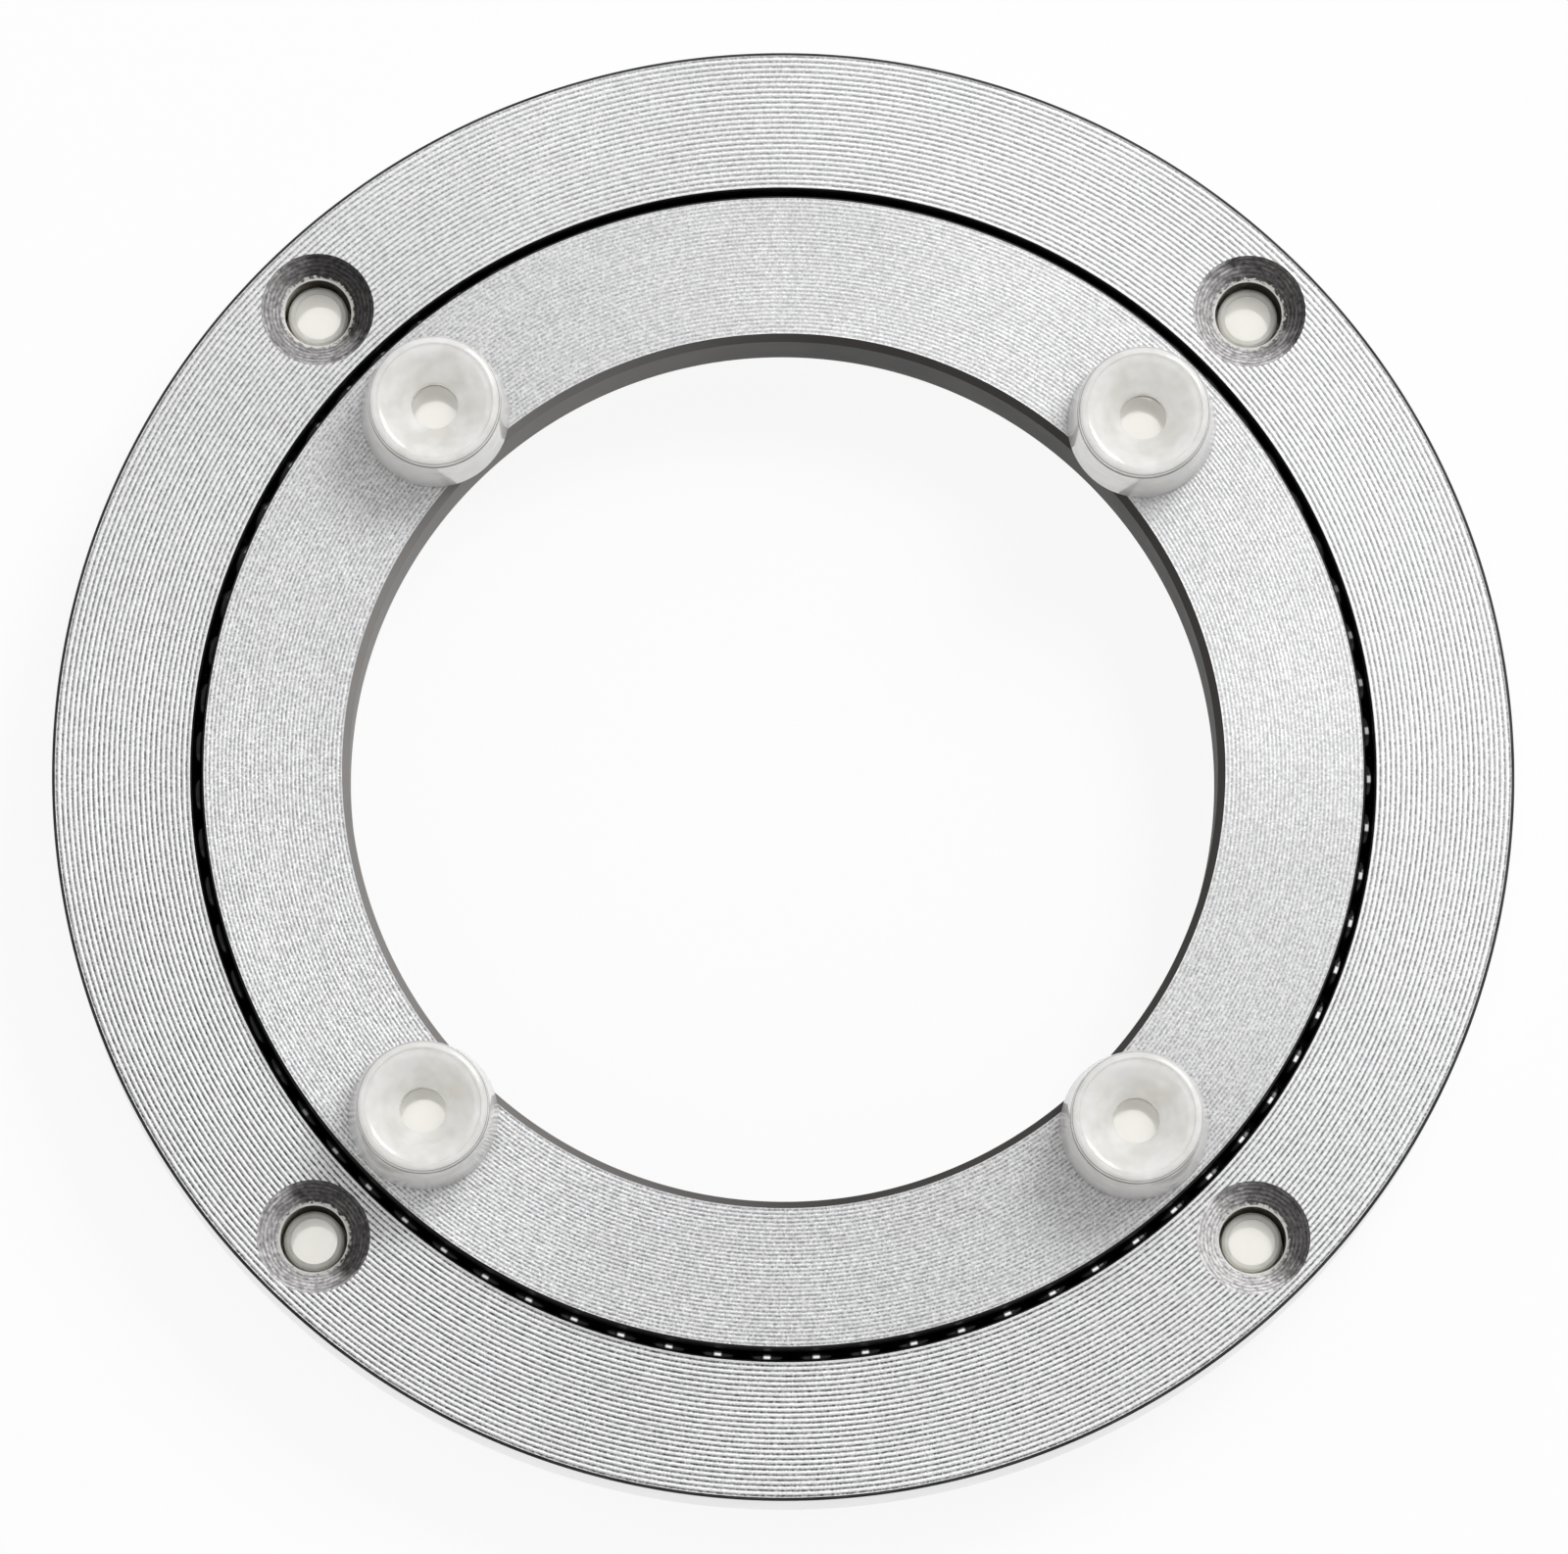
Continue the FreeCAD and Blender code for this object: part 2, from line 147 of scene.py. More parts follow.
underside = add(paint, "ShaderNodeNewGeometry").outputs["Backfacing"]
one_sided = either_shader(paint, underside, from_above, from_below)
add(paint, "ShaderNodeOutputMaterial", {"Surface": one_sided})
table_mesh.materials.append(table_paint)


def soft_lamp(name, place, width, watts):
    """A square lamp at a place, turned to face the bearing."""
    lamp = bpy.data.lights.new(name, "AREA")
    lamp.size = width
    lamp.energy = watts
    holder = bpy.data.objects.new(name, lamp)
    holder.location = place
    holder.rotation_mode = "QUATERNION"
    holder.rotation_quaternion = (-Vector(place)).to_track_quat("-Z", "Y")
    scene.collection.objects.link(holder)


soft_lamp("window_upper_right", place=(0.62, 0.74, 1.08), width=0.60, watts=12.0)
soft_lamp("bounce_left", place=(-1.0, 0.1, 0.9), width=0.8, watts=1.6)
soft_lamp("bounce_below", place=(0.1, -1.1, 0.9), width=0.8, watts=1.4)

picture_width = 1600
pixels_per_mm = 12.44
camera_distance = 1.2
camera_lean = math.radians(8.06)
lean_towards = Vector((-0.083, -0.9966, 0.0)).normalized()
picture_middle = Vector((0.03 * MM, -0.45 * MM, 10.5 * MM))
back = (lean_towards * math.sin(camera_lean) + Vector((0, 0, math.cos(camera_lean)))).normalized()
right = Vector((0, 1, 0)).cross(back).normalized()
up = back.cross(right)
lens = bpy.data.cameras.new("camera")
lens.sensor_width = 36.0
lens.lens = lens.sensor_width * camera_distance / (picture_width / pixels_per_mm * MM)
lens.clip_start = 0.01
camera = bpy.data.objects.new("camera", lens)
facing = Matrix((right, up, back)).transposed().to_4x4()
camera.matrix_world = Matrix.Translation(picture_middle + back * camera_distance) @ facing
scene.collection.objects.link(camera)
scene.camera = camera

# Outer ring: carries the tray. One aluminium disc, faced and bored on a lathe, so its faces keep
# the rings of the tool. Four countersunk screw holes, and a half-round race turned into its bore.
ring_steps, race_steps, hole_steps, plug_steps = 480, 15, 72, 64
almost_zero = 0.001


def turned(name, profile, steps, centre=(0.0, 0.0)):
    """A closed surface turned about an upright axis: point (u, v) is profile point v, at its radius
    from the axis and its height, at the angle 2 pi u. The profile's points run anticlockwise with the
    radius to the right and the height up, so faces point outwards, and sizes are in millimetres."""
    radius, height = np.asarray(profile, float).T
    angle = np.linspace(0.0, 2.0 * np.pi, steps, endpoint=False)
    x = centre[0] + np.outer(np.cos(angle), radius)
    y = centre[1] + np.outer(np.sin(angle), radius)
    z = np.outer(np.ones(steps), height)
    points = np.stack([x, y, z], axis=-1).reshape(-1, 3) * MM
    rows = len(radius)
    u, v = np.meshgrid(np.arange(steps), np.arange(rows), indexing="ij")
    next_u, next_v = (u + 1) % steps, (v + 1) % rows
    faces = np.stack([u * rows + v, next_u * rows + v, next_u * rows + next_v, u * rows + next_v], axis=-1)
    mesh = bpy.data.meshes.new(name)
    mesh.from_pydata(points.tolist(), [], faces.reshape(-1, 4).tolist())
    mesh.shade_smooth()
    return mesh


def arc(centre, radius, start, end, steps):
    """Points on a circle about centre from the angle start to the angle end, in degrees."""
    angle = np.radians(np.linspace(start, end, steps))
    return [(centre[0] + radius * math.cos(a), centre[1] + radius * math.sin(a)) for a in angle]


def on_circle(radius, degrees):
    """The x and y of a place on a circle about the axis."""
    angle = math.radians(degrees)
    return radius * math.cos(angle), radius * math.sin(angle)


def piece(name, mesh):
    """An object for a mesh whose place is in its own points."""
    made = bpy.data.objects.new(name, mesh)
    scene.collection.objects.link(made)
    return made


def drilled(blank, tools, name):
    """The blank with the tools' shapes cut out of it, as one plain mesh."""
    work = piece("work", blank)
    cutters = [piece(f"tool_{i}", tool) for i, tool in enumerate(tools)]
    for cutter in cutters:
        cut = work.modifiers.new("cut", "BOOLEAN")
        cut.operation = "DIFFERENCE"
        cut.solver = "EXACT"
        cut.object = cutter
    bpy.context.view_layer.update()
    shape = work.evaluated_get(bpy.context.evaluated_depsgraph_get())
    mesh = bpy.data.meshes.new_from_object(shape)
    mesh.name = name
    for used in [work, *cutters]:
        bpy.data.objects.remove(used)
    return mesh


def screw_tools(circle, first_angle, mouth, other):
    """Four countersinks with their holes, as turned tools a quarter turn apart: they open at the
    height mouth and leave at the height other."""
    past = 1.0 if mouth > other else -1.0
    depth = mouth_radius - hole_radius
    side = [(mouth_radius + 1.0, mouth + past), (mouth_radius, mouth),
            (hole_radius, mouth - past * depth), (hole_radius, other - past)]
    side = side if past < 0 else side[::-1]
    axis = [(almost_zero, side[-1][1]), (almost_zero, side[0][1])]
    return [turned("tool", side + axis, hole_steps, on_circle(circle, first_angle + 90 * i))
            for i in range(4)]


outer_low, outer_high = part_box("outer_ring")
rim = outer_high.x / MM
outer_bottom, outer_top = outer_low.z / MM, outer_high.z / MM
rim_edge, gap_edge = 0.25, 0.15
ball_circle, ball_height, race_radius = 48.1, 7.0, 2.08
half_gap = 0.425
race_rise = math.degrees(math.acos(half_gap / race_radius))
outer_wall = ball_circle + half_gap
outer_profile = [
    (rim - rim_edge, outer_bottom), (rim, outer_bottom + rim_edge),
    (rim, outer_top - rim_edge), (rim - rim_edge, outer_top),
    (outer_wall + gap_edge, outer_top), (outer_wall, outer_top - gap_edge),
    *arc((ball_circle, ball_height), race_radius, race_rise, -race_rise, race_steps),
    (outer_wall, outer_bottom + gap_edge), (outer_wall + gap_edge, outer_bottom),
]
outer_holes, outer_hole_angle = 54.3, 45.0
hole_radius, mouth_radius = 2.75, 4.65
tools = screw_tools(outer_holes, outer_hole_angle, outer_top, outer_bottom)
plug_radius, past_rim = 2.5, 20.0
plug_profile = [(almost_zero, 0.0), (plug_radius, 0.0), (plug_radius, past_rim), (almost_zero, past_rim)]
plug_tool = turned("plug_tool", plug_profile, plug_steps)
laid_over = Matrix.Rotation(-math.pi / 2, 4, "X")
plug_tool.transform(Matrix.Translation((0, ball_circle * MM, ball_height * MM)) @ laid_over)
tools.append(plug_tool)
outer_mesh = drilled(turned("outer_blank", outer_profile, ring_steps), tools, "turned_outer_ring")


def noise(tree, place, scale, detail, roughness=0.5):
    """Cloudy noise, mostly between 0.3 and 0.7, with clouds of about 1 / scale metres."""
    inputs = {"Vector": place, "Scale": scale, "Detail": detail, "Roughness": roughness}
    return add(tree, "ShaderNodeTexNoise", inputs).outputs[0]


def mottled(tree, cloud, low, high):
    """low to high over the span that noise mostly has."""
    return ramp(tree, cloud, 0.3, 0.7, low, high)


def from_upright(tree, place):
    """The distance of a place from the upright axis through its origin."""
    return vectors(tree, "LENGTH", vectors(tree, "MULTIPLY", place, (1.0, 1.0, 0.0)))


def turning_marks():
    """Shader group: the rings that a lathe tool leaves on a face. With r the distance from the axis and
    t = r / pitch + wander, the groove is where the triangle wave of t is near its low point. Groove is
    1 along the middle of a groove and 0 on the land, broken up by grain; Height follows the wave."""
    tree = bpy.data.node_groups.new("turning_marks", "ShaderNodeTree")
    ports = tree.interface
    ports.new_socket("Place", in_out="INPUT", socket_type="NodeSocketVector")
    for name in ("Pitch", "Width", "Wander", "Grain"):
        ports.new_socket(name, in_out="INPUT", socket_type="NodeSocketFloat")
    for name in ("Groove", "Height", "Speckle"):
        ports.new_socket(name, in_out="OUTPUT", socket_type="NodeSocketFloat")
    given = add(tree, "NodeGroupInput").outputs
    turns = maths(tree, "DIVIDE", from_upright(tree, given["Place"]), given["Pitch"])
    sway = maths(tree, "MULTIPLY", noise(tree, given["Place"], 260.0, 2.0), given["Wander"])
    wave = maths(tree, "PINGPONG", maths(tree, "ADD", turns, sway), 0.5)
    speck = ramp(tree, noise(tree, given["Place"], 5200.0, 3.0, 0.65), 0.36, 0.66, 0.0, 1.0)
    edge = maths(tree, "MULTIPLY", given["Width"], 0.5)
    bottom = maths(tree, "MULTIPLY", edge, 0.35)
    line = ramp(tree, wave, bottom, edge, 1.0, 0.0, curve="SMOOTHSTEP")
    kept = maths(tree, "SUBTRACT", 1.0, maths(tree, "MULTIPLY", speck, given["Grain"]))
    marks = {"Groove": maths(tree, "MULTIPLY", line, kept), "Height": maths(tree, "MULTIPLY", wave, 2.0),
             "Speckle": speck}
    add(tree, "NodeGroupOutput", marks)
    return tree


def new_material(name):
    """An empty material, its Principled shader and where its patterns start."""
    material = bpy.data.materials.new(name)
    material.use_nodes = True
    tree = material.node_tree
    tree.nodes.clear()
    shader = add(tree, "ShaderNodeBsdfPrincipled")
    add(tree, "ShaderNodeOutputMaterial", {"Surface": shader.outputs[0]})
    place = add(tree, "ShaderNodeTexCoord").outputs["Object"]
    return material, tree, shader, place


def feed(tree, shader, **inputs):
    """Sets the shader's sockets, named with underscores for spaces, to values or to other sockets."""
    for name, given in inputs.items():
        socket = shader.inputs[name.replace("_", " ")]
        if isinstance(given, bpy.types.NodeSocket):
            tree.links.new(given, socket)
        else:
            socket.default_value = given


def blend_colours(tree, share, low, high):
    """low where share is 0 and high where it is 1."""
    return add(tree, "ShaderNodeMix", {0: share, 6: low, 7: high}, data_type="RGBA").outputs[2]


def bumped(tree, height, strength, distance):
    """The normal of a surface that rises by distance where height is 1."""
    inputs = {"Height": height, "Strength": strength, "Distance": distance}
    return add(tree, "ShaderNodeBump", inputs).outputs[0]


marks = turning_marks()


def faced_aluminium(name, pitch, width, wander, grain, land, groove, relief, specks, roughness, faintest,
                    groove_shade_angle, bright_angle, sheen):
    """Lathe-faced aluminium: bright lands, grooves painted darker as painted shade inside them, and the
    fine grain of a light blasting. The painted groove shade is strongest at groove_shade_angle, in
    degrees, and fades to the share faintest on the far side. With d the cosine of the angle from
    bright_angle, a painted two-lobed sheen makes the face 1 + sheen (2 d^2 - 1 + 0.7 d) times as bright."""
    material, tree, shader, place = new_material(name)
    inputs = {"Place": place, "Pitch": pitch, "Width": width, "Wander": wander, "Grain": grain}
    lathe = add(tree, "ShaderNodeGroup", inputs, node_tree=marks).outputs
    tone = mottled(tree, noise(tree, place, 45.0, 3.0), 0.94, 1.05)
    outwards = vectors(tree, "NORMALIZE", place)
    # Painted shade: the grooves are painted darkest towards groove_shade_angle and fainter on the far
    # side.
    groove_shade_side = vectors(tree, "DOT_PRODUCT", outwards, (*on_circle(1.0, groove_shade_angle), 0.0))
    depth = ramp(tree, groove_shade_side, -0.7, 0.75, faintest, 1.0)
    cut = maths(tree, "MULTIPLY", lathe["Groove"], depth)
    dusted = ramp(tree, lathe["Speckle"], 0.0, 1.0, 1.0 - specks, 1.0 + specks)
    # Painted sheen: the face is painted brighter in two lobes about bright_angle.
    towards_bright = vectors(tree, "DOT_PRODUCT", outwards, (*on_circle(1.0, bright_angle), 0.0))
    lobes = maths(tree, "MULTIPLY", maths(tree, "MULTIPLY_ADD", towards_bright, 2.0, 0.7), towards_bright)
    painted_sheen = maths(tree, "MULTIPLY_ADD", lobes, sheen, 1.0 - sheen)
    shade = maths(tree, "MULTIPLY", maths(tree, "MULTIPLY", tone, dusted), painted_sheen)
    # Painted shade: the grooves' darker colour stands in for the shade inside them.
    colour = vectors(tree, "MULTIPLY", blend_colours(tree, cut, land, groove), shade)
    grit = maths(tree, "MULTIPLY", lathe["Speckle"], specks)
    surface = maths(tree, "ADD", lathe["Height"], grit)
    rough = ramp(tree, lathe["Groove"], 0.0, 1.0, roughness, roughness + 0.12)
    feed(tree, shader, Base_Color=colour, Metallic=1.0, Roughness=rough,
         Normal=bumped(tree, surface, 0.6, relief))
    return material


def wall_aluminium(name, colour, edge_tint, roughness, metal, darkest):
    """Turned wall: fine rings one above the other, faintly stained, and painted darker, down to the share
    darkest, on the side away from lit_side, as painted shade."""
    ring_pitch, ring_relief = 0.00022, 0.00003
    lit_side = (-0.98, -0.04, 0.0)
    material, tree, shader, place = new_material(name)
    height = add(tree, "ShaderNodeSeparateXYZ", {0: place}).outputs["Z"]
    wave = maths(tree, "PINGPONG", maths(tree, "DIVIDE", height, ring_pitch), 0.5)
    stain = noise(tree, place, 240.0, 4.0)
    towards_lit_side = vectors(tree, "DOT_PRODUCT", vectors(tree, "NORMALIZE", place), lit_side)
    # Painted shade: the wall is painted darker on the side facing away from lit_side.
    painted_side_shade = ramp(tree, towards_lit_side, -0.1, 0.9, darkest, 1.0)
    shade = maths(tree, "MULTIPLY", mottled(tree, stain, 0.95, 1.03), painted_side_shade)
    feed(tree, shader, Base_Color=vectors(tree, "MULTIPLY", colour[:3], shade), Metallic=metal,
         Roughness=mottled(tree, stain, roughness - 0.03, roughness + 0.03), Specular_IOR_Level=0.05,
         Specular_Tint=edge_tint, Normal=bumped(tree, wave, 0.3, ring_relief))
    return material


def drilled_aluminium(name, circle, first_angle):
    """Chattered countersinks: rings about each hole's own axis, with painted light and shade: lighter on
    the lit_side of each hole and darker on the far side, near black in the hole on that side, lighter
    across the ring towards brighter_side, and a painted highlight where the cone meets the hole. The
    four holes share one pattern: the place is turned so that the first hole is at 45 degrees, folded
    by its absolute x and y, and unfolded by its signs."""
    chatter_pitch, chatter_relief = 0.00030, 0.00005
    lit_side, brighter_side = (-0.80, -0.60, 0.0), (0.7, -0.7, 0.0)
    most_shaded = 0.22
    material, tree, shader, place = new_material(name)
    turn = {0: place, "Angle": math.radians(45.0 - first_angle)}
    turned_place = add(tree, "ShaderNodeVectorRotate", turn, rotation_type="Z_AXIS").outputs[0]
    hole_x = circle * MM * math.sqrt(0.5)
    folded = vectors(tree, "ABSOLUTE", turned_place)
    local = vectors(tree, "SUBTRACT", folded, (hole_x, hole_x, 0.0))
    flat = vectors(tree, "MULTIPLY", local, (1.0, 1.0, 0.0))
    radius = vectors(tree, "LENGTH", flat)
    unfolded = vectors(tree, "MULTIPLY", flat, vectors(tree, "SIGN", turned_place))
    # Painted light and shade: each cone is painted lighter on its lit_side and darker, with blotches, on
    # the far side.
    side = vectors(tree, "DOT_PRODUCT", vectors(tree, "NORMALIZE", unfolded), lit_side)
    blotches = noise(tree, place, 480.0, 4.0, 0.7)
    lit_with_blotches = maths(tree, "ADD", side, maths(tree, "MULTIPLY", blotches, 1.6))
    lit_share = ramp(tree, lit_with_blotches, 0.3, 1.15, most_shaded, 1.0)
    turns = maths(tree, "DIVIDE", radius, chatter_pitch)
    wave = maths(tree, "PINGPONG", maths(tree, "ADD", turns, maths(tree, "MULTIPLY", blotches, 0.9)), 0.5)
    ridge = ramp(tree, wave, 0.14, 0.46, 0.0, 1.0, curve="SMOOTHSTEP")
    share = maths(tree, "MULTIPLY", ridge, ramp(tree, blotches, 0.4, 0.6, 0.3, 1.0))
    cut = blend_colours(tree, share, (0.50, 0.48, 0.49, 1.0), (0.98, 0.97, 0.97, 1.0))
    # Painted light: the holes are painted lighter across the ring towards brighter_side.
    across = vectors(tree, "DOT_PRODUCT", place, brighter_side)
    painted_light_across = ramp(tree, across, -circle * MM, circle * MM, 0.7, 1.3)
    pits = noise(tree, place, 2600.0, 3.0, 0.6)
    pitted = ramp(tree, pits, 0.34, 0.66, 0.55, 1.35)
    painted_light_and_pits = maths(tree, "MULTIPLY", maths(tree, "MULTIPLY", lit_share, painted_light_across), pitted)
    cone = vectors(tree, "MULTIPLY", cut, painted_light_and_pits)
    rolled = ramp(tree, pits, 0.34, 0.66, 0.02 * MM, 0.34 * MM)
    corner = maths(tree, "ADD", rolled, hole_radius * MM)
    # Painted highlight: a bright ring where the cone meets the hole.
    painted_edge_highlight = ramp(tree, maths(tree, "SUBTRACT", radius, corner), 0.0, 0.10 * MM, 1.0, 0.0)
    with_edge = blend_colours(tree, painted_edge_highlight, cone, (0.95, 0.94, 0.92, 1.0))
    in_hole = maths(tree, "LESS_THAN", radius, (hole_radius + 0.01) * MM)
    # Painted shade: the hole's wall is near black on its shaded side.
    wall = blend_colours(tree, lit_share, (0.10, 0.095, 0.08, 1.0), (0.66, 0.64, 0.55, 1.0))
    feed(tree, shader, Base_Color=blend_colours(tree, in_hole, with_edge, wall),
         Metallic=ramp(tree, lit_share, most_shaded, 1.0, 1.0, 0.3),
         Roughness=ramp(tree, share, 0.0, 1.0, 0.42, 0.26), Specular_Tint=(0.4, 0.38, 0.4, 1.0),
         Normal=bumped(tree, wave, 0.5, chatter_relief))
    return material


def dark_gap_wall(name):
    """Race and gap walls: burnished by the balls and painted near black, partly greasy and mostly as
    painted shade in the narrow gap.
    """
    material, tree, shader, place = new_material(name)
    film = noise(tree, place, 700.0, 3.0)
    # Painted shade: near-black walls stand in for the shade deep in the gap.
    colour = blend_colours(tree, film, (0.008, 0.008, 0.008, 1.0), (0.03, 0.029, 0.028, 1.0))
    feed(tree, shader, Base_Color=colour, Metallic=0.0, Roughness=mottled(tree, film, 0.35, 0.6),
         Specular_IOR_Level=0.15)
    return material


def shaded_bevel(name):
    """The narrow bevel at a rim, painted dark as painted shade along the edge."""
    material, tree, shader, place = new_material(name)
    nicks = noise(tree, place, 500.0, 3.0)
    # Painted shade: the rim bevels are painted near black.
    colour = blend_colours(tree, nicks, (0.012, 0.012, 0.012, 1.0), (0.10, 0.10, 0.10, 1.0))
    feed(tree, shader, Base_Color=colour, Metallic=0.6, Roughness=mottled(tree, nicks, 0.4, 0.6),
         Specular_IOR_Level=0.3, Specular_Tint=(0.3, 0.3, 0.3, 1.0))
    return material


def finish_ring(mesh, bottom, top, holes, hole_angle, gap_from, gap_to, finishes):
    """Gives each polygon its finish, by where its middle is: 0 on the foot-side face, 1 on the other
    face, 2 on the walls, 3 in the screw holes, 4 in the gap and its race, 5 on the bevels at the rim."""
    hole_margin, bevel_reach, flatness, sharp_from = 0.05, 0.2, 0.002, 28
    count = len(mesh.polygons)
    middle = np.empty(count * 3)
    mesh.polygons.foreach_get("center", middle)
    x, y, z = middle.reshape(-1, 3).T / MM
    which = np.full(count, 2)
    radius = np.hypot(x, y)
    which[(radius > gap_from) & (radius < gap_to)] = 4
    for i in range(4):
        hole_x, hole_y = on_circle(holes, hole_angle + 90 * i)
        which[np.hypot(x - hole_x, y - hole_y) < mouth_radius + hole_margin] = 3
    at_rim = radius > rim - bevel_reach
    on_bevel = np.abs(z - (top + bottom) / 2) > (top - bottom) / 2 - bevel_reach
    which[at_rim] = 2
    which[at_rim & on_bevel] = 5
    which[np.abs(z - top) < flatness] = 0
    which[np.abs(z - bottom) < flatness] = 1
    for finish in finishes:
        mesh.materials.append(finish)
    mesh.polygons.foreach_set("material_index", which.astype(np.int32))
    mesh.shade_smooth()
    mesh.set_sharp_from_angle(angle=math.radians(sharp_from))
    mesh.update()


# The groove colours here are painted shade in the grooves.
grooved_face = faced_aluminium("grooved_face", pitch=0.000426, width=0.62, wander=0.10, grain=0.55,
                               land=(0.66, 0.66, 0.665, 1.0), groove=(0.05, 0.05, 0.052, 1.0),
                               relief=0.00006, specks=0.14, roughness=0.50, faintest=0.62,
                               groove_shade_angle=-110.0, bright_angle=-30.0, sheen=0.045)
rim_wall = wall_aluminium("rim_wall", colour=(0.96, 0.96, 0.965, 1.0), edge_tint=WHITE,
                          roughness=0.32, metal=1.0, darkest=0.96)
outer_countersinks = drilled_aluminium("outer_countersinks", outer_holes, outer_hole_angle)
shaded_race = dark_gap_wall("shaded_race")
shaded_rim_edge = shaded_bevel("shaded_rim_edge")
race_reach = 1.7
finish_ring(outer_mesh, outer_bottom, outer_top, outer_holes, outer_hole_angle,
            gap_from=ball_circle, gap_to=outer_wall + race_reach,
            finishes=[grooved_face, grooved_face, rim_wall, outer_countersinks, shaded_race, shaded_rim_edge])
outer_ring = piece("turned_outer_ring", outer_mesh)
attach(outer_ring, "turntable")
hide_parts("outer_ring")

# Inner ring: stands on the table by its feet. Turned like the outer ring, then blasted lightly, so
# its marks are faint and it sparkles. Its screw holes are countersunk on the tray side.
inner_low, inner_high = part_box("inner_ring")
inner_bottom, inner_top = inner_low.z / MM, inner_high.z / MM
inner_wall = ball_circle - half_gap
bore, bore_edge, bore_back_edge = 35.6, 0.6, 0.3
inner_profile = [
    (inner_wall - gap_edge, inner_bottom), (inner_wall, inner_bottom + gap_edge),
    *arc((ball_circle, ball_height), race_radius, 180 + race_rise, 180 - race_rise, race_steps),
    (inner_wall, inner_top - gap_edge), (inner_wall - gap_edge, inner_top),
    (bore + bore_edge, inner_top), (bore, inner_top - bore_edge),
    (bore, inner_bottom + bore_back_edge), (bore + bore_back_edge, inner_bottom),
]
inner_holes, inner_hole_angle = 41.05, 44.25
tools = screw_tools(inner_holes, inner_hole_angle, inner_bottom, inner_top)
inner_mesh = drilled(turned("inner_blank", inner_profile, ring_steps), tools, "turned_inner_ring")
# The groove colours here are painted shade in the grooves.
blasted_face = faced_aluminium("blasted_face", pitch=0.000334, width=0.7, wander=0.16, grain=0.8,
                               land=(0.60, 0.60, 0.605, 1.0), groove=(0.27, 0.27, 0.273, 1.0),
                               relief=0.00004, specks=0.19, roughness=0.58, faintest=0.30,
                               groove_shade_angle=-130.0, bright_angle=-150.0, sheen=0.07)
# Painted shade: a dark, non-metal copy of the turned-wall finish stands in for the shade and dark
# reflections inside the bore.
shaded_bore_wall = wall_aluminium("shaded_bore_wall", colour=(0.27, 0.258, 0.25, 1.0),
                           edge_tint=(0.12, 0.11, 0.105, 1.0), roughness=0.5, metal=0.0, darkest=0.24)
inner_countersinks = drilled_aluminium("inner_countersinks", inner_holes, inner_hole_angle)
finish_ring(inner_mesh, inner_bottom, inner_top, inner_holes, inner_hole_angle,
            gap_from=inner_wall - race_reach, gap_to=ball_circle,
            finishes=[blasted_face, grooved_face, shaded_bore_wall, inner_countersinks, shaded_race, shaded_rim_edge])
inner_ring = piece("turned_inner_ring", inner_mesh)
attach(inner_ring, "base")
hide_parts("inner_ring")

# Feet: moulded in clear soft plastic, each with a dished top and a hollow shank that is pushed into
# a screw hole of the inner ring. They grip the table when the bearing is turned over. A thin skin
# that the mould leaves across the eyelet lets light through, and a screw goes through it.
eyelet, shank_tip, shank_root = 1.9, 2.45, 2.7
shank_length, shank_edge, shank_fillet = 5.0, 0.2, 0.3
hem, groove_depth = 0.3, 0.25
moulding_steps, hem_steps, bead_steps, bowl_steps = 96, 5, 10, 14
skin_steps, groove_steps, bead_line_step = [0, -2], slice(13, 16), 19


def push_in(base, top, height, rounding, line, dish_from, lip, dish, skin_top, skin_bottom):
    """Profile of a foot or a tray pad about its axis, with its seat at zero height. The bead ends in
    a small lip at the radius dish_from. From there the dish falls to the eyelet by the smooth step
    3 t^2 - 2 t^3. A groove of the width line runs round under the bead, and the skin crosses the
    eyelet from skin_bottom up to skin_top."""
    under_bead = height - rounding - line
    in_groove = top - groove_depth
    below_groove = top + 0.03
    seat_radius = shank_root + 0.02
    edge_radius, edge_start, edge_end = eyelet + 0.02, height - dish - 0.08, height - dish - 0.25
    bowl_end = 0.06
    share = np.linspace(1.0, bowl_end, bowl_steps)
    bowl_radius = eyelet + (dish_from - eyelet) * share
    bowl = height - dish + (dish - lip) * share ** 2 * (3 - 2 * share)
    return [
        (almost_zero, skin_bottom), (eyelet, skin_bottom), (eyelet, -shank_length),
        (shank_tip - shank_edge, -shank_length), (shank_tip, shank_edge - shank_length),
        (shank_root, -shank_fillet), (seat_radius, 0.0), (base - hem, 0.0),
        *arc((base - hem, hem), hem, -60, 0, hem_steps),
        (below_groove, under_bead - line), (in_groove, under_bead - line / 2), (in_groove, under_bead),
        *arc((top - rounding, height - rounding), rounding, 0, 90, bead_steps),
        *zip(bowl_radius.tolist(), bowl.tolist()),
        (edge_radius, edge_start), (eyelet, edge_end), (eyelet, skin_top), (almost_zero, skin_top),
    ]


def clear_plastic(name, thin, thick):
    """Clear soft plastic: milky, with cloudy flow marks from the colour thin to thick, a glossy skin
    and light passing through it."""
    material, tree, shader, place = new_material(name)
    cloud = noise(tree, place, 420.0, 2.0)
    flow = ramp(tree, cloud, 0.36, 0.64, 0.0, 1.0)
    feed(tree, shader, Base_Color=blend_colours(tree, flow, thin, thick), Metallic=0.0,
         Roughness=mottled(tree, cloud, 0.36, 0.44), IOR=1.46, Transmission_Weight=0.06,
         Specular_IOR_Level=0.35, Subsurface_Weight=0.7, Subsurface_Radius=(1.0, 1.0, 0.95),
         Subsurface_Scale=0.006, Coat_Weight=0.65, Coat_Roughness=0.05)
    return material


